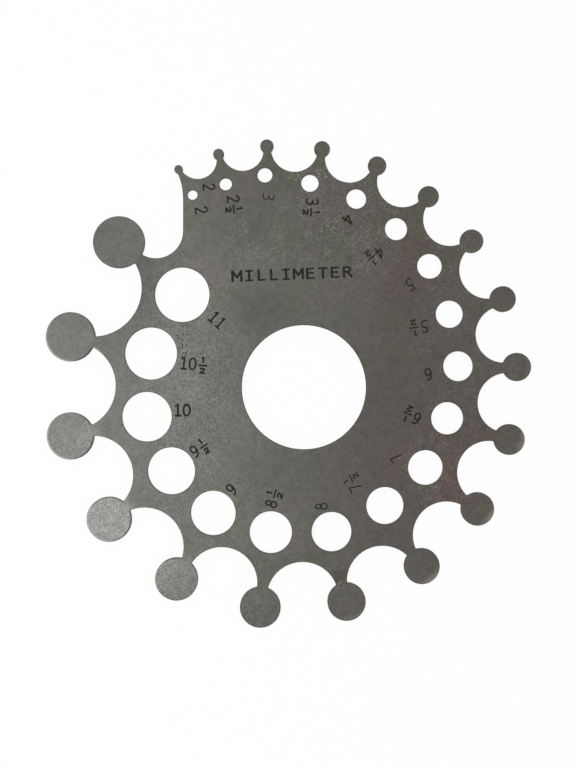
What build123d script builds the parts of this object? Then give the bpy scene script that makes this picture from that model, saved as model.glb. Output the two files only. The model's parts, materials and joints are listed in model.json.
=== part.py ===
from build123d import *
from math import cos, radians, sin, sqrt
import os

# A gemstone size gauge: one flat plate cut from sheet steel, in millimetres.
# Each size has a station: a round disc that stands at the rim on a narrow neck, and the
# hole of the same size further in. The stations run clockwise, smallest first, from a
# deep notch at the upper left, round a large central bore.
# The origin is on the bore's axis at the underside. +Z points up through the plate, and
# +Y to its top as it is read.

# Sheet, with the slight break that blanking leaves round the edges of its upper face
plate_thickness = 1.0
edge_break = 0.1

# Central bore
bore_diameter = 25.0

# Sizes
smallest_size = 2.0
size_step = 0.5
size_count = 19

# The discs stand on a spiral that winds clockwise and slowly inwards about its own centre
ring_centre_x = -3.7
ring_centre_y = 0.86
first_disc_bearing = 116.6
first_disc_reach = 48.0
reach_lost_per_turn = 4.45
ring_sweep = 336.8

# The lists below hold pairs of a size and the value at that size, with straight runs between.
# How far a disc's diameter falls short of its size
disc_undersize_law = [(8.5, 0.3), (10.5, 0.58)]
# Room from one disc to the next, as shares of the whole sweep, by the mean size of the two
spacing_law = [(2.25, 1.0), (3.25, 1.3), (4.75, 1.48), (8.25, 2.14), (9.75, 2.32), (10.75, 2.73)]
# Depth of the scallop between two discs, inside the spiral, by the mean size of the two
scallop_depth_law = [
    (2.25, 3.6),
    (3.25, 5.2),
    (5.25, 6.1),
    (5.75, 7.45),
    (7.75, 8.55),
    (8.75, 10.25),
    (9.25, 9.4),
    (10.75, 10.65),
]
# Width of the neck where it meets its disc
neck_width_law = [(2.0, 1.0), (3.0, 1.55), (6.5, 2.2), (11.0, 2.2)]
# Metal from the disc's edge to the edge of its hole
hole_gap_law = [(2.0, 4.0), (3.0, 2.9), (6.5, 6.4), (8.5, 6.5), (11.0, 5.8)]
# Degrees by which the hole stands anticlockwise of its disc
hole_lag_law = [(2.0, -0.3), (3.5, 1.9), (6.0, 1.6), (7.5, 2.4), (9.0, 0.0), (11.0, -0.3)]

# The holes are staggered: every second one stands this much further in
hole_stagger = 0.35

# Radius where a neck runs into its disc
neck_fillet = 0.3

# How far apart two points may be and still count as one
same_place = 0.01

# The notch has a wall along +Y beside the first hole, which curls out to the first disc, and
# a round floor that runs to the last disc
notch_web = 0.9
notch_wall_top = 6.0
notch_wall_foot = 12.4


def read_law(law, size):
    """The value of a law at a size, held level past both its ends."""
    if size <= law[0][0]:
        return law[0][1]
    for (size_before, before), (size_after, after) in zip(law, law[1:]):
        if size <= size_after:
            share = (size - size_before) / (size_after - size_before)
            return before + (after - before) * share
    return law[-1][1]


def on_ring(turn, inset=0.0, lag=0.0):
    """A point so many degrees clockwise of the first disc, and so far inside the spiral."""
    reach = first_disc_reach - reach_lost_per_turn * turn / 360 - inset
    bearing = radians(first_disc_bearing - turn + lag)
    return Vector(ring_centre_x + reach * cos(bearing), ring_centre_y + reach * sin(bearing))


class Station:
    """One size: its disc on the spiral, its hole, and the neck from the disc towards the centre."""

    def __init__(self, size, turn, stagger):
        self.size = size
        self.turn = turn
        disc_radius = (size - read_law(disc_undersize_law, size)) / 2
        disc = on_ring(turn)
        hole_inset = disc_radius + read_law(hole_gap_law, size) + stagger + size / 2
        self.hole = on_ring(turn, hole_inset, read_law(hole_lag_law, size))
        inward = (Vector(ring_centre_x, ring_centre_y) - disc).normalized()
        backward = Vector(inward.Y, -inward.X)
        half_neck = read_law(neck_width_law, size) / 2
        neck_line = disc + inward * sqrt(disc_radius**2 - half_neck**2)
        self.disc = disc
        self.tip = disc - inward * disc_radius
        self.first_corner = neck_line + backward * half_neck
        self.last_corner = neck_line - backward * half_neck


def lay_out_stations():
    """Every station in clockwise order, sharing the sweep out by the spacing law."""
    sizes = [smallest_size + step * size_step for step in range(size_count)]
    rooms = [read_law(spacing_law, (a + b) / 2) for a, b in zip(sizes, sizes[1:])]
    stations = []
    turn = 0.0
    for step, (size, room) in enumerate(zip(sizes, rooms + [0.0])):
        stations.append(Station(size, turn, hole_stagger * (step % 2)))
        turn += ring_sweep * room / sum(rooms)
    return stations


def disc_edge(station):
    """The round of one disc, from neck corner to neck corner round its tip."""
    return ThreePointArc(station.first_corner, station.tip, station.last_corner)


def scallop_edge(before, after):
    """The hollow between two discs, from corner to corner through its floor."""
    depth = read_law(scallop_depth_law, (before.size + after.size) / 2)
    floor = on_ring((before.turn + after.turn) / 2, depth)
    return ThreePointArc(before.last_corner, floor, after.first_corner)


def notch_edges(last, first):
    """The deep notch: a round floor from the last disc, a straight wall, and a curl to the first."""
    wall_x = first.hole.X - first.size / 2 - notch_web
    foot = Vector(wall_x, first.disc.Y - notch_wall_foot)
    top = Vector(wall_x, first.disc.Y - notch_wall_top)
    floor = TangentArc(foot, last.last_corner, tangent=(0, -1))
    curl = TangentArc(top, first.first_corner, tangent=(0, 1))
    return [floor, Line(foot, top), curl]


def plate_outline(stations):
    """The closed rim as a face, with every neck corner filleted."""
    edges = [disc_edge(station) for station in stations]
    edges += [scallop_edge(before, after) for before, after in zip(stations, stations[1:])]
    edges += notch_edges(stations[-1], stations[0])
    outline = make_face(Curve() + edges)
    corners = [point for s in stations for point in (s.first_corner, s.last_corner)]
    rim_corners = [
        vertex
        for vertex in outline.vertices()
        if min((Vector(*vertex) - corner).length for corner in corners) < same_place
    ]
    return fillet(rim_corners, neck_fillet)


def gauge_plate(stations):
    """The sheet with its rim, bore and graduated holes, and the edges of its upper face broken."""
    sheet = plate_outline(stations) - Circle(bore_diameter / 2)
    for station in stations:
        sheet -= Pos(station.hole) * Circle(station.size / 2)
    plate = extrude(sheet, plate_thickness)
    return chamfer(plate.edges().group_by(Axis.Z)[-1], edge_break)


os.makedirs("parts", exist_ok=True)
export_step(gauge_plate(lay_out_stations()), "parts/gauge_plate.step")
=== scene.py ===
import json
from math import cos, pi, radians, sin

import bmesh
import bpy
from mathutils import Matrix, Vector


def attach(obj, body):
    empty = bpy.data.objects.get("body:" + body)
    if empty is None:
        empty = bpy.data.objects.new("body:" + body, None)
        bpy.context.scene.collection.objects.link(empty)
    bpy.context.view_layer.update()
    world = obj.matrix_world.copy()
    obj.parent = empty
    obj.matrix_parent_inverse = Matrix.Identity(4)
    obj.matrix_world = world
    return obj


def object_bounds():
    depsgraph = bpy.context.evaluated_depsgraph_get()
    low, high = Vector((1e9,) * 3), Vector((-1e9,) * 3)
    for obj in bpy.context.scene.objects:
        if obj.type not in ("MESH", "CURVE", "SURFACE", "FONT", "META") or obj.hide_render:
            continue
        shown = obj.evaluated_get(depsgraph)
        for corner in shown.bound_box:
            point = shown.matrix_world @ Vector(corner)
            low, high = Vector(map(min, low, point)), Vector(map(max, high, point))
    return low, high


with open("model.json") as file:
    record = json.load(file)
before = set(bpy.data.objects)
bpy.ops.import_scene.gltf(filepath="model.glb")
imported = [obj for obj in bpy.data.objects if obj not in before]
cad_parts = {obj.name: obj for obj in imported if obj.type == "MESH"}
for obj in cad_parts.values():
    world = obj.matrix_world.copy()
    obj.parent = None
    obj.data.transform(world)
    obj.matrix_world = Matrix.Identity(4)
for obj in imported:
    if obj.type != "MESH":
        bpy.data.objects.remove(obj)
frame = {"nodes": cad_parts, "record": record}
cad_low, cad_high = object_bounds()

# A gemstone size gauge: one plate of rolled sheet steel, lying on a white bench and seen from
# straight above. The plate is the CAD solid. What is made here is its finish, the sizes and the
# unit that are marked on its upper face, and the studio. Sizes are in millimetres and places are
# counted from the bore's axis at the underside, unless a comment says otherwise.

MM = 0.001
PLATE = "gauge_plate"

FACE_HEIGHT = cad_high.z / MM


# Colours and nodes

# The sRGB curve is straight up to its knee, and a power above it
SRGB_KNEE = 0.04045
SRGB_SLOPE = 12.92
SRGB_OFFSET = 0.055
SRGB_POWER = 2.4


def shade(code):
    """A colour written as sRGB hex, as the linear colour that the nodes take."""
    levels = [int(code[i:i + 2], 16) / 255 for i in (1, 3, 5)]
    return (*(linear(level) for level in levels), 1.0)


def linear(level):
    """One sRGB level of 0 to 1 as a linear one."""
    if level <= SRGB_KNEE:
        return level / SRGB_SLOPE
    return ((level + SRGB_OFFSET) / (1 + SRGB_OFFSET)) ** SRGB_POWER


def add_node(tree, kind, inputs=(), **settings):
    """Adds a node with its settings, and gives back its outputs. Inputs come in their order or by
    name. One that is given a socket is linked to it, and any other value is set."""
    node = tree.nodes.new(kind)
    for name, value in settings.items():
        setattr(node, name, value)
    by_socket = inputs if isinstance(inputs, dict) else dict(enumerate(inputs))
    for socket, value in by_socket.items():
        if isinstance(value, bpy.types.NodeSocket):
            tree.links.new(value, node.inputs[socket])
        else:
            node.inputs[socket].default_value = value
    return node.outputs


def empty_material(name):
    """A new material with nothing in its tree."""
    material = bpy.data.materials.new(name)
    material.use_nodes = True
    material.node_tree.nodes.clear()
    return material, material.node_tree


# The mix node has its colour sockets after those for numbers and vectors
MIX_SHARE, MIX_FIRST, MIX_SECOND, MIX_RESULT = 0, 6, 7, 2


def tinted(tree, colour, code, share, within=1.0):
    """A colour that takes another shade, as far as two shares of 0 to 1 both let it."""
    both = add_node(tree, "ShaderNodeMath", (share, within), operation="MULTIPLY")[0]
    layers = {MIX_SHARE: both, MIX_FIRST: colour, MIX_SECOND: shade(code)}
    return add_node(tree, "ShaderNodeMix", layers, data_type="RGBA")[MIX_RESULT]


def in_millimetres(tree):
    """The place on the object in millimetres, so that a scale is one over a real size."""
    place = add_node(tree, "ShaderNodeTexCoord")["Object"]
    enlarged = {"Vector": place, "Scale": 1 / MM}
    return add_node(tree, "ShaderNodeVectorMath", enlarged, operation="SCALE")[0]


def stretched(tree, place, size, turn=0.0):
    """The place counted in steps of a size along each axis, after a turn about Z in degrees."""
    spun = add_node(tree, "ShaderNodeVectorRotate", {"Vector": place, "Angle": radians(turn)})[0]
    steps = tuple(1 / length for length in size)
    return add_node(tree, "ShaderNodeMapping", {"Vector": spun, "Scale": steps})[0]


def pattern(tree, place, row, swing=(0.0, 1.0)):
    """Soft lumps, as a value that swings between two others. Their row says how many millimetres
    they measure, their detail, their seed, and the two levels between which they set in."""
    size, detail, seed, *onset = row
    lumps = {"Vector": place, "W": seed, "Scale": 1 / size, "Detail": detail}
    level = add_node(tree, "ShaderNodeTexNoise", lumps, noise_dimensions="4D")["Fac"]
    limits = (level, *onset, *swing)
    return add_node(tree, "ShaderNodeMapRange", limits, interpolation_type="SMOOTHSTEP")[0]


def toned(tree, place, colour, row, swing, share=1.0):
    """A colour made darker and lighter by a pattern, as far as a share lets it."""
    layers = {MIX_SHARE: share, MIX_FIRST: colour, MIX_SECOND: pattern(tree, place, row, swing)}
    mixed = add_node(tree, "ShaderNodeMix", layers, data_type="RGBA", blend_type="MULTIPLY")
    return mixed[MIX_RESULT]


# A patch is a soft oval about a point of the upper face. This deep, it goes right through the
# plate and hardly fades on the way.
PATCH_DEPTH = 9.0


def in_patch(tree, place, middle, reach, core, depth=PATCH_DEPTH):
    """1 within a patch's core and 0 past its reach along X and Y. The core is a share of that."""
    middle = (*middle, FACE_HEIGHT)
    away = add_node(tree, "ShaderNodeVectorMath", (place, middle), operation="SUBTRACT")[0]
    steps = add_node(tree, "ShaderNodeVectorMath", (away, (*reach, depth)), operation="DIVIDE")[0]
    length = add_node(tree, "ShaderNodeVectorMath", (steps,), operation="LENGTH")["Value"]
    limits = (length, 1.0, core)
    return add_node(tree, "ShaderNodeMapRange", limits, interpolation_type="SMOOTHSTEP")[0]


def clouded(tree, patch, clouds, strength, broken):
    """A patch at its full strength in the clouds, and thinner between them by the share that they
    break it up."""
    limits = (clouds, 0.0, 1.0, strength * (1.0 - broken), strength)
    whole = add_node(tree, "ShaderNodeMapRange", limits, interpolation_type="SMOOTHSTEP")[0]
    return add_node(tree, "ShaderNodeMath", (patch, whole), operation="MULTIPLY")[0]


# Rolled steel

# The patterns on the steel. The grain of rolled sheet is finer than a picture can show, so the
# grain and the stipple are drawn this coarse.
TARNISH = (8.0, 3.0, 0.0, 0.4, 0.6)
STAIN_CLOUD = (5.0, 2.0, 13.0, 0.4, 0.65)
SPECK_CLOUD = (4.0, 3.0, 4.0, 0.42, 0.62)
SPECKS = (0.32, 1.0, 5.0, 0.5, 0.68)
MOTTLE = (1.4, 2.0, 7.0, 0.25, 0.75)
GRAIN = (0.4, 2.0, 9.0, 0.25, 0.75)
STIPPLE = (0.22, 0.0, 10.0, 0.3, 0.7)
POLISH = (5.0, 3.0, 6.0, 0.3, 0.7)

# How dark and how light they make the steel
MOTTLE_SWING = (0.93, 1.07)
GRAIN_SWING = (0.87, 1.13)
STIPPLE_SWING = (0.78, 1.25)

# How deep the grain is, how much of it shows, and how rough the polish leaves the skin
GRAIN_DEPTH = 0.01
GRAIN_RELIEF = 0.5
ROUGHNESS = (0.31, 0.36)

# Shades of the steel
GREEN_TARNISH = "#55544c"
BROWN_TARNISH = "#5a5550"
EVEN_DISC = "#5a5751"
# A painted highlight, lighter than the rubbed discs, on those at the lower left
DISC_HIGHLIGHT = "#716e68"
# A painted highlight on the outer ends of the discs
TIP_HIGHLIGHT = "#827c75"
RUBBED_SPECK = "#84837a"
SCRATCHED = "#716f66"
PIT_FLOOR = "#2b2926"
# A painted shade, darker than the skin, along the broken edge
EDGE_SHADE = "#45423d"
# The torn and sheared walls, both made darker by painted shade
TORN_WALL_AND_SHADE = "#37342f"
SHEARED_WALL_AND_SHADE = "#55524c"

# Broad stains, each with its middle, its reach, its shade and how much clouds break it up
STAIN_CORE = 0.2
STAINS = [
    ((-42.0, -8.0), (30.0, 44.0), "#58554f", 0.0),
    ((-41.0, 25.0), (21.0, 24.0), "#494741", 0.0),
    ((-23.0, 2.0), (6.0, 13.0), "#5b5852", 0.0),
    ((-12.0, 2.0), (9.0, 12.0), "#54524c", 0.0),
    ((-12.0, 32.0), (8.0, 9.0), "#52514a", 0.0),
    ((-9.0, 15.0), (9.0, 8.0), "#4e4d46", 0.0),
    ((-4.0, -16.0), (14.0, 9.0), "#53514b", 0.0),
    ((21.0, 24.0), (12.0, 17.0), "#57504b", 0.0),
    ((22.0, -11.0), (30.0, 34.0), "#56504b", 0.0),
    ((29.0, -17.0), (14.0, 16.0), "#5e4d4b", 1.0),
    ((29.0, -18.8), (5.5, 8.0), "#5e4d4b", 0.5),
    ((7.0, -38.6), (2.8, 2.8), "#514842", 0.0),
]

# Where pale specks show, each patch with its middle, its reach, its strength and how much
# clouds break it up
SPECK_CORE = 0.4
SPECK_PATCHES = [
    ((9.0, 33.0), (20.0, 18.0), 0.45, 0.7),
    ((29.0, 26.0), (13.0, 14.0), 0.4, 0.9),
    ((27.0, -18.0), (13.0, 13.0), 0.42, 0.9),
    ((33.0, -2.0), (13.0, 34.0), 0.26, 0.7),
    ((-9.0, 30.0), (13.0, 8.0), 0.34, 1.0),
    ((3.9, 42.8), (1.9, 1.5), 1.2, 0.0),
    ((-1.7, 42.6), (3.2, 1.6), 0.6, 0.0),
    ((14.8, 37.6), (5.0, 4.2), 0.5, 0.6),
    ((7.2, -39.6), (1.7, 1.4), 0.7, 0.0),
]

# Where the plate has a salt and pepper stipple, each patch with its middle, its reach and its
# strength
STIPPLE_CORE = 0.5
STIPPLED_PLATE = [
    ((-24.0, 2.0), (15.5, 32.0), 1.0),
    ((-18.0, -28.0), (24.0, 15.0), 0.65),
    ((9.0, 35.0), (16.0, 17.0), 0.7),
    ((34.0, -6.0), (18.0, 40.0), 0.35),
]

# Other patches, each with its middle, its reach, its core and, for two of them, a depth of
# their own: the pits beside the hole of 10 1/2, which stay on the upper face, where the discs
# have the stipple, where they and their outer ends take a painted highlight, and where their
# rims take a painted shade and highlight
PITTED = ((-24.3, 9.4), (1.7, 4.6), 0.7, 0.9)
STIPPLED_DISCS = ((-30.0, -30.0), (40.0, 40.0), 0.5)
DISC_HIGHLIGHT_PATCH = ((-37.9, -29.0), (32.0, 32.0), 0.1, 32.0)
TIP_HIGHLIGHT_PATCH = ((33.0, -24.0), (42.0, 42.0), 0.3)
PAINTED_RIMS_PATCH = ((-40.0, -12.0), (26.0, 36.0), 0.6)

# Scratches run about two ways, each with its turn in degrees and its pattern, which is counted
# in steps as wide and as long as a scratch
SCRATCH_SIZE = (0.16, 9.0, 1.0)
SCRATCHES = [
    (14.0, (1.0, 0.0, 11.0, 0.81, 0.88)),
    (101.0, (1.0, 0.0, 12.0, 0.81, 0.88)),
]

# How far apart the pits are, how unevenly they lie, and their radius. A pit starts to darken at
# the first of two shares of its radius, and is darkest at the second.
PIT_SPACING = 0.85
PIT_SCATTER = 0.6
PIT_RADIUS = 0.2
PIT_ONSET = (1.3, 0.5)

# The discs begin on a spiral about a point. It starts at the first disc, at this bearing in
# degrees and this reach, and shrinks clockwise by so much a turn.
RING_MIDDLE = (-3.7, 0.86, 0.0)
RING_START = 116.6
FIRST_NECK_REACH = 47.1
NECK_REACH_LOST = 9.1

# What a vector is multiplied by to keep its X and Y and lose its Z
LEVEL = (1.0, 1.0, 0.0)

# How far past the necks' ends the discs turn even and take their painted highlight, how far
# from the ring's middle their outer ends take theirs, and how even they turn
EVEN_ONSET = (-0.4, 0.8)
DISC_HIGHLIGHT_ONSET = (-3.2, 1.2)
TIP_ONSET = (47.8, 49.9)
EVEN_SHARE = 0.6

# How far in the rims of the large discs roll over, how much they have to turn to a side before
# it shows, and their painted shade on the right and painted highlight on the lower left
RIM_ROLL = 0.5
RIM_ONSET = (0.06, 0.28)
RIM_SAMPLES = 8
RIM_SHADE_AND_HIGHLIGHT = [
    ((0.96, -0.28, 0.0), "#2f2d2a"),
    ((-0.9, -0.44, 0.0), "#8f8c86"),
]

# Bands down the walls of the cut, and how high up the wall the torn metal gives way to the
# sheared
TEAR_SIZE = (0.12, 0.12, 1.5)
TEARS = (1.0, 2.0, 2.0, 0.3, 0.7)
TEAR_SWING = (0.7, 1.25)
SHEAR_ONSET = (0.55, 0.68)

# How upright a face's normal stands where the broken edge and the walls set in
EDGE_ONSET = (0.99, 0.9)
WALL_ONSET = (0.5, 0.3)


def out_on_discs(tree, place):
    """Shares of 0 to 1 that tell where the discs turn even, where they take a painted highlight,
    and where their outer ends are, which take one too."""
    away = add_node(tree, "ShaderNodeVectorMath", (place, RING_MIDDLE), operation="SUBTRACT")[0]
    flat = add_node(tree, "ShaderNodeVectorMath", (away, LEVEL), operation="MULTIPLY")[0]
    reach = add_node(tree, "ShaderNodeVectorMath", (flat,), operation="LENGTH")["Value"]
    sides = add_node(tree, "ShaderNodeSeparateXYZ", (flat,))
    bearing = add_node(tree, "ShaderNodeMath", (sides["Y"], sides["X"]), operation="ARCTAN2")[0]
    past_start = (radians(RING_START), bearing)
    angle = add_node(tree, "ShaderNodeMath", past_start, operation="SUBTRACT")[0]
    turns = add_node(tree, "ShaderNodeMath", (angle, 2 * pi), operation="DIVIDE")[0]
    turn = add_node(tree, "ShaderNodeMath", (turns,), operation="FRACT")[0]
    lost = add_node(tree, "ShaderNodeMath", (turn, NECK_REACH_LOST), operation="MULTIPLY")[0]
    neck = add_node(tree, "ShaderNodeMath", (FIRST_NECK_REACH, lost), operation="SUBTRACT")[0]
    past_neck = add_node(tree, "ShaderNodeMath", (reach, neck), operation="SUBTRACT")[0]
    onsets = [(past_neck, *EVEN_ONSET), (past_neck, *DISC_HIGHLIGHT_ONSET), (reach, *TIP_ONSET)]
    return [
        add_node(tree, "ShaderNodeMapRange", limits, interpolation_type="SMOOTHSTEP")[0]
        for limits in onsets
    ]


def stained(tree, place, skin):
    """The skin with its broad stains."""
    clouds = pattern(tree, place, STAIN_CLOUD)
    for middle, reach, code, broken in STAINS:
        patch = in_patch(tree, place, middle, reach, STAIN_CORE)
        skin = tinted(tree, skin, code, clouded(tree, patch, clouds, 1.0, broken))
    return skin


def rubbed(tree, place, skin, even, bright, tips):
    """The skin with its discs rubbed even, and a painted highlight on some and on their ends."""
    skin = tinted(tree, skin, EVEN_DISC, even, EVEN_SHARE)
    # A painted highlight on the discs at the lower left
    skin = tinted(tree, skin, DISC_HIGHLIGHT, bright, in_patch(tree, place, *DISC_HIGHLIGHT_PATCH))
    # A painted highlight on the outer ends of the discs
    return tinted(tree, skin, TIP_HIGHLIGHT, tips, in_patch(tree, place, *TIP_HIGHLIGHT_PATCH))


def speckled(tree, place, skin):
    """The skin rubbed through in pale specks."""
    clouds = pattern(tree, place, SPECK_CLOUD)
    share = 0.0
    for middle, reach, strength, broken in SPECK_PATCHES:
        patch = in_patch(tree, place, middle, reach, SPECK_CORE)
        patch = clouded(tree, patch, clouds, strength, broken)
        share = add_node(tree, "ShaderNodeMath", (share, patch), operation="MAXIMUM")[0]
    return tinted(tree, skin, RUBBED_SPECK, pattern(tree, place, SPECKS), share)


def stippled(tree, place, skin, even):
    """The skin with its salt and pepper stipple."""
    discs = in_patch(tree, place, *STIPPLED_DISCS)
    share = add_node(tree, "ShaderNodeMath", (discs, even), operation="MULTIPLY")[0]
    for middle, reach, strength in STIPPLED_PLATE:
        patch = in_patch(tree, place, middle, reach, STIPPLE_CORE)
        patch = add_node(tree, "ShaderNodeMath", (patch, strength), operation="MULTIPLY")[0]
        share = add_node(tree, "ShaderNodeMath", (share, patch), operation="MAXIMUM")[0]
    return toned(tree, place, skin, STIPPLE, STIPPLE_SWING, share)


def scratched(tree, place, skin):
    """The skin with its few fine scratches."""
    for turn, row in SCRATCHES:
        scratch = pattern(tree, stretched(tree, place, SCRATCH_SIZE, turn), row)
        skin = tinted(tree, skin, SCRATCHED, scratch)
    return skin


def rolled_rims(tree, place, skin, bright):
    """The skin with a painted shade on the rims of the large discs where they roll over to the
    right, and a painted highlight where they roll over to the lower left."""
    rolled = add_node(tree, "ShaderNodeBevel", {"Radius": RIM_ROLL * MM}, samples=RIM_SAMPLES)[0]
    large = in_patch(tree, place, *PAINTED_RIMS_PATCH)
    discs = add_node(tree, "ShaderNodeMath", (bright, large), operation="MULTIPLY")[0]
    for side, code in RIM_SHADE_AND_HIGHLIGHT:
        facing = add_node(tree, "ShaderNodeVectorMath", (rolled, side), operation="DOT_PRODUCT")
        limits = (facing["Value"], *RIM_ONSET)
        rim = add_node(tree, "ShaderNodeMapRange", limits, interpolation_type="SMOOTHSTEP")[0]
        skin = tinted(tree, skin, code, rim, discs)
    return skin


def pitted(tree, place, skin):
    """The skin with its patch of small pits."""
    cells = {"Vector": place, "Scale": 1 / PIT_SPACING, "Randomness": PIT_SCATTER}
    from_pit = add_node(tree, "ShaderNodeTexVoronoi", cells)["Distance"]
    radius = PIT_RADIUS / PIT_SPACING
    limits = (from_pit, *(radius * share for share in PIT_ONSET))
    pits = add_node(tree, "ShaderNodeMapRange", limits, interpolation_type="SMOOTHSTEP")[0]
    return tinted(tree, skin, PIT_FLOOR, pits, in_patch(tree, place, *PITTED))


def steel_skin(tree, place):
    """The colour of the flat faces."""
    even, bright, tips = out_on_discs(tree, place)
    skin = tinted(tree, shade(GREEN_TARNISH), BROWN_TARNISH, pattern(tree, place, TARNISH))
    skin = stained(tree, place, skin)
    # The discs rubbed even, with a painted highlight on some and on their outer ends
    skin = rubbed(tree, place, skin, even, bright, tips)
    skin = speckled(tree, place, skin)
    skin = toned(tree, place, skin, MOTTLE, MOTTLE_SWING)
    skin = toned(tree, place, skin, GRAIN, GRAIN_SWING)
    skin = stippled(tree, place, skin, even)
    skin = scratched(tree, place, skin)
    # A painted shade and a painted highlight on the rims of the large discs
    skin = rolled_rims(tree, place, skin, bright)
    return pitted(tree, place, skin)


def steel_wall(tree, place):
    """The colour of the cut walls: smooth where the die sheared them, torn darker below, and all
    of it darkened by painted shade.
    """
    height = add_node(tree, "ShaderNodeSeparateXYZ", (place,))["Z"]
    limits = (height, *SHEAR_ONSET)
    sheared = add_node(tree, "ShaderNodeMapRange", limits, interpolation_type="SMOOTHSTEP")[0]
    wall = tinted(tree, shade(TORN_WALL_AND_SHADE), SHEARED_WALL_AND_SHADE, sheared)
    return toned(tree, stretched(tree, place, TEAR_SIZE), wall, TEARS, TEAR_SWING)


def cut_edges(tree):
    """Shares of 0 to 1 that tell where the broken edge is, and where the walls are."""
    normal = add_node(tree, "ShaderNodeNewGeometry")["Normal"]
    upward = add_node(tree, "ShaderNodeSeparateXYZ", (normal,))["Z"]
    slope = add_node(tree, "ShaderNodeMath", (upward,), operation="ABSOLUTE")[0]
    return [
        add_node(tree, "ShaderNodeMapRange", (slope, *onset), interpolation_type="SMOOTHSTEP")[0]
        for onset in (EDGE_ONSET, WALL_ONSET)
    ]


def grain_relief(tree, place):
    """The normal of a face that the rolls left with a fine grain."""
    size, detail, seed = GRAIN[:3]
    lumps = {"Vector": place, "W": seed, "Scale": 1 / size, "Detail": detail}
    grain = add_node(tree, "ShaderNodeTexNoise", lumps, noise_dimensions="4D")["Fac"]
    relief = {"Height": grain, "Strength": GRAIN_RELIEF, "Distance": GRAIN_DEPTH * MM}
    return add_node(tree, "ShaderNodeBump", relief)[0]


def rolled_steel():
    """Cold rolled sheet steel, blanked, tumbled dull and darkened with age. It gives the eye a
    soft satin with no mirror image in it, a fine grain, faint clouds and broad stains of green
    grey and brown grey, a salt and pepper stipple that is strongest on the left, pale specks
    where the skin is rubbed through, a few fine scratches, discs rubbed a little brighter than
    the plate with a painted highlight on those at the lower left and on their outer ends, a
    painted shade and highlight on the rims of the large discs, a patch of pits, a painted shade
    along the broken edge, and walls that are smooth at the top of the cut and torn below, both
    darkened by painted shade."""
    material, tree = empty_material("rolled_steel")
    place = in_millimetres(tree)
    edge, wall = cut_edges(tree)
    # A painted shade along the broken edge
    skin = tinted(tree, steel_skin(tree, place), EDGE_SHADE, edge)
    layers = {MIX_SHARE: wall, MIX_FIRST: skin, MIX_SECOND: steel_wall(tree, place)}
    steel = {
        "Base Color": add_node(tree, "ShaderNodeMix", layers, data_type="RGBA")[MIX_RESULT],
        "Metallic": 1.0,
        "Roughness": pattern(tree, place, POLISH, ROUGHNESS),
        "Normal": grain_relief(tree, place),
    }
    surface = add_node(tree, "ShaderNodeBsdfPrincipled", steel)[0]
    add_node(tree, "ShaderNodeOutputMaterial", {"Surface": surface})
    return material


# Etched oxide

# Where the oxide is thin, its shades where it is thick and thin, and how dull it is
THIN_SPOTS = (0.3, 2.0, 3.0, 0.45, 0.75)
THICK_OXIDE = "#1c1a15"
THIN_OXIDE = "#35322b"
OXIDE_ROUGHNESS = 0.75
OXIDE_GLOSS = 0.2


def etched_oxide():
    """Black iron oxide burnt into the steel by electric etching. It gives the eye a dead matt
    near black, thinner and browner in small spots where the steel grins through."""
    material, tree = empty_material("etched_oxide")
    spots = pattern(tree, in_millimetres(tree), THIN_SPOTS)
    oxide = {
        "Base Color": tinted(tree, shade(THICK_OXIDE), THIN_OXIDE, spots),
        "Metallic": 0.0,
        "Roughness": OXIDE_ROUGHNESS,
        "Specular IOR Level": OXIDE_GLOSS,
    }
    surface = add_node(tree, "ShaderNodeBsdfPrincipled", oxide)[0]
    add_node(tree, "ShaderNodeOutputMaterial", {"Surface": surface})
    return material


# Painted board

# How much of the board is plain white to the camera and in reflections
WHITE_SHARE = 0.94
WHITE = "#ffffff"
WHITE_PAINT = "#f4f4f2"


def seen_directly(tree):
    """1 for rays from the camera, and for those that a gloss or a glass sends on, otherwise 0."""
    rays = add_node(tree, "ShaderNodeLightPath")
    seen = rays["Is Camera Ray"]
    for kind in ("Is Glossy Ray", "Is Transmission Ray"):
        seen = add_node(tree, "ShaderNodeMath", (seen, rays[kind]), operation="MAXIMUM")[0]
    return seen


def painted_board():
    """Board painted a matt white. It gives the eye clean white that still takes a faint shadow.
    From below it is clear, so that the plate's underside can be looked at."""
    material, tree = empty_material("painted_board")
    paint = add_node(tree, "ShaderNodeBsdfDiffuse", {"Color": shade(WHITE_PAINT)})[0]
    white = add_node(tree, "ShaderNodeEmission", {"Color": shade(WHITE)})[0]
    whitened = (seen_directly(tree), WHITE_SHARE)
    share = add_node(tree, "ShaderNodeMath", whitened, operation="MULTIPLY")[0]
    upper = add_node(tree, "ShaderNodeMixShader", (share, paint, white))[0]
    clear = add_node(tree, "ShaderNodeBsdfTransparent")[0]
    below = add_node(tree, "ShaderNodeNewGeometry")["Backfacing"]
    surface = add_node(tree, "ShaderNodeMixShader", (below, upper, clear))[0]
    add_node(tree, "ShaderNodeOutputMaterial", {"Surface": surface})
    return material


# The marks, written with a round pen whose line is a flattened tube let into the face

# How far the line stands proud, and how many sides the tube has, steps each of its ends, steps
# each run of a curve, and steps an oval
MARK_RISE = 0.012
PEN_SIDES = 10
CAP_STEPS = 4
CURVE_STEPS = 5
LOOP_STEPS = 20

# Points of a mark that come this near to each other are one point
SAME_POINT = 0.000012


def straight(*corners):
    """The runs of a line with sharp corners, each a stroke of its own."""
    return [[a, b] for a, b in zip(corners, corners[1:])]


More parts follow.
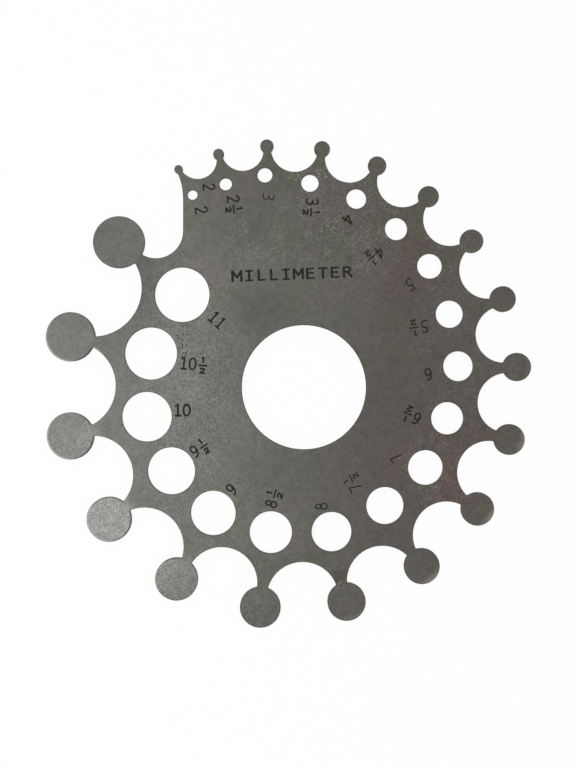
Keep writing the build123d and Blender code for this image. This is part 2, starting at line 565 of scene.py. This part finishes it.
def curved(*points):
    """One smooth stroke through its points. It passes each of them in the direction from the one
    before it to the one after it."""
    ends = [points[0], *points, points[-1]]
    path = []
    for run in zip(ends, ends[1:], ends[2:], ends[3:]):
        for step in range(CURVE_STEPS):
            t = step / CURVE_STEPS
            pulls = (
                (-t + 2 * t**2 - t**3) / 2,
                (2 - 5 * t**2 + 3 * t**3) / 2,
                (t + 4 * t**2 - 3 * t**3) / 2,
                (-(t**2) + t**3) / 2,
            )
            path.append(tuple(sum(pull * v for pull, v in zip(pulls, axis)) for axis in zip(*run)))
    return [path + [points[-1]]]


def loop(x, y, half_width, half_height):
    """One closed oval stroke."""
    turns = [2 * pi * step / LOOP_STEPS for step in range(LOOP_STEPS + 1)]
    return [[(x + half_width * sin(t), y + half_height * cos(t)) for t in turns]]


# Each sign is one unit high. The digits are about half as wide, and the capitals wider.
SIX = curved((0.43, 0.99), (0.25, 0.94), (0.09, 0.74), (0.02, 0.42), (0.07, 0.13), (0.25, 0.0),
             (0.44, 0.1), (0.5, 0.31), (0.43, 0.52), (0.26, 0.59), (0.1, 0.5), (0.03, 0.36))
TWO = curved((0.03, 0.82), (0.13, 0.96), (0.28, 1.0), (0.45, 0.92), (0.49, 0.75), (0.42, 0.55),
             (0.25, 0.33), (0.02, 0.0)) + straight((0.02, 0.0), (0.52, 0.0))
SIGNS = {
    "0": loop(0.26, 0.5, 0.28, 0.5),
    "1": straight((0.1, 0.86), (0.29, 1.0), (0.29, 0.0)) + straight((0.08, 0.0), (0.5, 0.0)),
    "2": TWO,
    "3": curved((0.05, 0.95), (0.25, 1.0), (0.43, 0.9), (0.44, 0.69), (0.33, 0.56), (0.16, 0.53))
    + curved((0.16, 0.53), (0.38, 0.47), (0.48, 0.29), (0.41, 0.08), (0.22, 0.0), (0.01, 0.05)),
    "4": straight((0.4, 0.0), (0.4, 1.0), (0.0, 0.3), (0.54, 0.3)),
    "5": straight((0.46, 1.0), (0.1, 1.0), (0.09, 0.57))
    + curved((0.09, 0.57), (0.28, 0.6), (0.45, 0.48), (0.48, 0.28), (0.38, 0.07), (0.18, 0.0),
             (0.0, 0.04)),
    "6": SIX,
    "7": straight((0.0, 1.0), (0.5, 1.0), (0.17, 0.0)),
    "8": loop(0.25, 0.77, 0.2, 0.23) + loop(0.25, 0.27, 0.25, 0.27),
    "9": [[(0.5 - x, 1 - y) for x, y in stroke] for stroke in SIX],
    "M": straight((0.0, 0.0), (0.0, 1.0), (0.465, 0.36), (0.93, 1.0), (0.93, 0.0)),
    "I": straight((0.13, 1.0), (0.79, 1.0))
    + straight((0.46, 1.0), (0.46, 0.0))
    + straight((0.13, 0.0), (0.79, 0.0)),
    "L": straight((0.18, 1.0), (0.18, 0.0), (0.8, 0.0)),
    "E": straight((0.78, 1.0), (0.1, 1.0), (0.1, 0.0), (0.82, 0.0))
    + straight((0.1, 0.53), (0.72, 0.53)),
    "T": straight((0.0, 1.0), (0.93, 1.0)) + straight((0.465, 1.0), (0.465, 0.0)),
    "R": straight((0.08, 0.0), (0.08, 1.0), (0.44, 1.0))
    + curved((0.44, 1.0), (0.68, 0.94), (0.75, 0.76), (0.66, 0.58), (0.42, 0.52))
    + straight((0.08, 0.52), (0.42, 0.52))
    + straight((0.46, 0.52), (0.88, 0.0)),
}
DIGIT_WIDTH = 0.52
CAPITAL_WIDTH = 0.93


class Pen:
    """Writes strokes on the upper face, into one mesh. A broad pen draws level strokes thinner."""

    def __init__(self):
        self.half_width = 0.0
        self.half_level = 0.0
        self.reading = Vector((1, 0))
        self.mesh = bmesh.new()

    def press(self, width, level_width):
        """Sets how wide the upright and the level strokes come out."""
        self.half_width = width / 2
        self.half_level = level_width / 2

    def stroke(self, path):
        """A flattened tube along a path in millimetres, with round ends."""
        points = [Vector(point) for point in path]
        ways = [(b - a).normalized() for a, b in zip(points, points[1:])]
        headings = [ways[0]] + [(a + b).normalized() for a, b in zip(ways, ways[1:])] + [ways[-1]]
        angles = [0.5 * pi * step / CAP_STEPS for step in range(CAP_STEPS)]
        first, last = self.reach(headings[0]), self.reach(headings[-1])
        start = [(points[0] - headings[0] * first * cos(a), headings[0], sin(a)) for a in angles]
        body = [(point, heading, 1.0) for point, heading in zip(points, headings)]
        end = [(points[-1] + headings[-1] * last * cos(a), headings[-1], sin(a)) for a in angles]
        rings = [self.ring(*place) for place in start + body + end[::-1]]
        for before, after in zip(rings, rings[1:]):
            for side in range(PEN_SIDES):
                following = (side + 1) % PEN_SIDES
                corners = (before[side], before[following], after[following], after[side])
                self.mesh.faces.new(corners)

    def reach(self, heading):
        """Half the width of a stroke that runs this way."""
        upright = abs(self.reading.cross(heading))
        return self.half_level + (self.half_width - self.half_level) * upright

    def ring(self, centre, heading, share):
        """One section of the tube, as wide as its share of the line."""
        left = Vector((-heading.y, heading.x))
        corners = []
        for side in range(PEN_SIDES):
            turn = 2 * pi * side / PEN_SIDES
            flat = centre + left * self.reach(heading) * share * cos(turn)
            rise = MARK_RISE * share * sin(turn)
            corners.append(self.mesh.verts.new((flat.x * MM, flat.y * MM, cad_high.z + rise * MM)))
        return corners

    def sign(self, name, corner, reading, height, widening=1.0):
        """One sign whose lower left corner and reading direction are given."""
        self.reading = reading
        up = Vector((-reading.y, reading.x))
        along = reading * height * widening
        for stroke in SIGNS[name]:
            self.stroke([corner + along * x + up * y * height for x, y in stroke])

    def piece(self, name, material):
        """Makes what was written a piece that rides on the plate."""
        bmesh.ops.remove_doubles(self.mesh, verts=self.mesh.verts, dist=SAME_POINT * MM)
        bmesh.ops.recalc_face_normals(self.mesh, faces=self.mesh.faces)
        mesh = bpy.data.meshes.new(name)
        self.mesh.to_mesh(mesh)
        self.mesh.free()
        mesh.materials.append(material)
        mesh.shade_smooth()
        written = bpy.data.objects.new(name, mesh)
        bpy.context.collection.objects.link(written)
        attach(written, "root")


# How high a digit is, and the step from one to the next
DIGIT_HEIGHT = 2.28
DIGIT_PITCH = 1.8

# The half that follows a number: a one over a two, with a bar between. The one is an upright
# with a small flag, and the two is widened.
HALF_AHEAD = 2.07
HALF_DROP = 0.13
HALF_BAR = 1.45
HALF_ONE_HEIGHT = 0.96
HALF_ONE_RISE = 1.14
HALF_FLAG_BACK = 0.24
HALF_FLAG_DROP = 0.16
HALF_TWO_HEIGHT = 0.92
HALF_TWO_WIDENING = 1.9
HALF_TWO_DROP = 1.06

# The sizes, marked beside their holes, reading inwards. Each row has the size, how far in from
# the hole's edge and how far to the left the number's middle lies, how many degrees it leans
# from the line to the bore, and how wide its line came out.
SIZE_MARKS = [
    (2.0, 2.55, 0.0, -22, 0.34),
    (2.5, 2.1, 0.35, -15, 0.36),
    (3.0, 3.0, -0.1, -18, 0.23),
    (3.5, 2.05, 0.55, -1, 0.35),
    (4.0, 2.5, -0.45, -20, 0.36),
    (4.5, 3.55, -0.45, -25, 0.31),
    (5.0, 2.9, -0.05, -12, 0.3),
    (5.5, 2.85, -0.05, -16, 0.3),
    (6.0, 3.15, 0.8, 4, 0.33),
    (6.5, 2.8, 1.35, -14, 0.36),
    (7.0, 2.5, 1.55, -17, 0.26),
    (7.5, 2.6, 2.85, -5, 0.26),
    (8.0, 1.45, 1.05, -9, 0.27),
    (8.5, 1.4, 1.2, -4, 0.35),
    (9.0, 1.55, -0.2, -7, 0.36),
    (9.5, 1.35, 0.8, 2, 0.37),
    (10.0, 2.25, 0.0, -11, 0.41),
    (10.5, 2.5, -0.35, 7, 0.37),
    (11.0, 3.2, 0.25, -5, 0.38),
]

# A second 2 stands between the first two holes
SPARE_TWO = Vector((-19.06, 40.2))
SPARE_TWO_READS = -85
SPARE_TWO_LINE = 0.34


def turned(way, degrees):
    """A direction turned anticlockwise."""
    c, s = cos(radians(degrees)), sin(radians(degrees))
    return Vector((c * way.x - s * way.y, s * way.x + c * way.y))


def write_number(pen, text, middle, reading):
    """The digits of a number about their middle."""
    up = turned(reading, 90)
    width = DIGIT_PITCH * (len(text) - 1) + DIGIT_WIDTH * DIGIT_HEIGHT
    corner = middle - reading * width / 2 - up * DIGIT_HEIGHT / 2
    for step, digit in enumerate(text):
        pen.sign(digit, corner + reading * step * DIGIT_PITCH, reading, DIGIT_HEIGHT)


def write_half(pen, middle, reading):
    """A half about the middle of its bar."""
    up = turned(reading, 90)
    pen.reading = reading
    pen.stroke([middle - reading * HALF_BAR / 2, middle + reading * HALF_BAR / 2])
    one = middle + up * HALF_ONE_RISE
    top = one + up * HALF_ONE_HEIGHT / 2
    pen.stroke([top - reading * HALF_FLAG_BACK - up * HALF_FLAG_DROP, top])
    pen.stroke([top, one - up * HALF_ONE_HEIGHT / 2])
    side = reading * DIGIT_WIDTH * HALF_TWO_HEIGHT * HALF_TWO_WIDENING / 2
    corner = middle - up * (HALF_TWO_DROP + HALF_TWO_HEIGHT / 2) - side
    pen.sign("2", corner, reading, HALF_TWO_HEIGHT, HALF_TWO_WIDENING)


def mark_sizes(material):
    """Every size beside its hole, with the spare 2 between the first two holes."""
    holes = {mount["name"]: mount for mount in frame["record"]["mounts"]}
    pen = Pen()
    half_pen = Pen()
    for size, gap, left, lean, line in SIZE_MARKS:
        hole = holes[f"hole_{size:.1f}".replace(".", "_")]
        centre = Vector(hole["pos_m"][:2]) / MM
        inward = -centre.normalized()
        middle = centre + inward * (hole["dims"]["r_mm"] + gap) + turned(inward, 90) * left
        reading = turned(inward, lean)
        whole = str(int(size))
        pen.press(line, line)
        write_number(pen, whole, middle, reading)
        if size % 1:
            ahead = HALF_AHEAD + DIGIT_PITCH * (len(whole) - 1) / 2
            half_middle = middle + reading * ahead - turned(reading, 90) * HALF_DROP
            half_pen.press(line, line)
            write_half(half_pen, half_middle, reading)
    pen.press(SPARE_TWO_LINE, SPARE_TWO_LINE)
    write_number(pen, "2", SPARE_TWO, turned(Vector((1, 0)), SPARE_TWO_READS))
    pen.piece("size_numbers", material)
    half_pen.piece("half_fractions", material)


# The unit, its middle, its tilt in degrees, the step from one capital to the next, their height,
# and how wide their upright and level lines came out
UNIT_WORD = "MILLIMETER"
UNIT_MIDDLE = Vector((-2.35, 22.74))
UNIT_TILT = 2.2
UNIT_PITCH = 2.47
UNIT_HEIGHT = 1.9
UNIT_UPRIGHT_LINE = 0.5
UNIT_LEVEL_LINE = 0.37


def mark_unit(material):
    """The unit in capitals above the bore, one to each equal step."""
    reading = turned(Vector((1, 0)), UNIT_TILT)
    up = turned(reading, 90)
    width = UNIT_PITCH * (len(UNIT_WORD) - 1) + CAPITAL_WIDTH * UNIT_HEIGHT
    corner = UNIT_MIDDLE - reading * width / 2 - up * UNIT_HEIGHT / 2
    pen = Pen()
    pen.press(UNIT_UPRIGHT_LINE, UNIT_LEVEL_LINE)
    for step, capital in enumerate(UNIT_WORD):
        pen.sign(capital, corner + reading * step * UNIT_PITCH, reading, UNIT_HEIGHT)
    pen.piece("unit_word", material)


# Studio

# The photograph shows a piece 154.2 mm high about this point of the upper face
VIEW_MIDDLE = Vector((-3.2, 0.65))
VIEW_HEIGHT = 154.2
LENS = 50
FILM = 36

# The bench lies a hair under the plate, so that the two faces don't fall together
BENCH_HALF_WIDTH = 1500.0
BENCH_GAP = 0.02

# The lamp's place and side in metres, and its power in watts
LAMP_PLACE = Vector((-0.11, -0.01, 0.262))
LAMP_SIZE = 0.2
LAMP_POWER = 0.24
LAMP_TINT = "#e7f6ff"

SURROUND = "#e6e6e6"


def set_camera():
    """A camera straight above, with +Y up the picture."""
    data = bpy.data.cameras.new("camera")
    data.lens = LENS
    data.sensor_fit = "VERTICAL"
    data.sensor_height = FILM
    camera = bpy.data.objects.new("camera", data)
    reach = VIEW_HEIGHT * MM * LENS / FILM
    camera.location = (VIEW_MIDDLE.x * MM, VIEW_MIDDLE.y * MM, cad_high.z + reach)
    bpy.context.collection.objects.link(camera)
    bpy.context.scene.camera = camera


def lay_bench():
    """A white bench for the plate to lie on."""
    board = bmesh.new()
    bmesh.ops.create_grid(board, x_segments=1, y_segments=1, size=BENCH_HALF_WIDTH * MM)
    mesh = bpy.data.meshes.new("bench")
    board.to_mesh(mesh)
    board.free()
    mesh.materials.append(painted_board())
    floor = bpy.data.objects.new("bench", mesh)
    floor.location.z = cad_low.z - BENCH_GAP * MM
    bpy.context.collection.objects.link(floor)


def hang_lamp():
    """One soft square lamp of a cool white, overhead on the left, facing the plate's middle."""
    data = bpy.data.lights.new("key_lamp", "AREA")
    data.shape = "SQUARE"
    data.size = LAMP_SIZE
    data.energy = LAMP_POWER
    data.color = shade(LAMP_TINT)[:3]
    lamp = bpy.data.objects.new("key_lamp", data)
    lamp.location = LAMP_PLACE
    lamp.rotation_euler = (-LAMP_PLACE).to_track_quat("-Z", "Y").to_euler()
    bpy.context.collection.objects.link(lamp)


def light_surround():
    """An even pale surround, which shows as plain white to the camera and in reflections."""
    world = bpy.data.worlds.new("surround")
    world.use_nodes = True
    tree = world.node_tree
    tree.nodes.clear()
    tone = tinted(tree, shade(SURROUND), WHITE, seen_directly(tree))
    light = add_node(tree, "ShaderNodeBackground", {"Color": tone})[0]
    add_node(tree, "ShaderNodeOutputWorld", {"Surface": light})
    bpy.context.scene.world = world


set_camera()
lay_bench()
light_surround()
hang_lamp()
bpy.context.scene.view_settings.view_transform = "Standard"

plate = frame["nodes"][PLATE]
plate.data.materials.clear()
plate.data.materials.append(rolled_steel())

oxide = etched_oxide()
mark_sizes(oxide)
mark_unit(oxide)
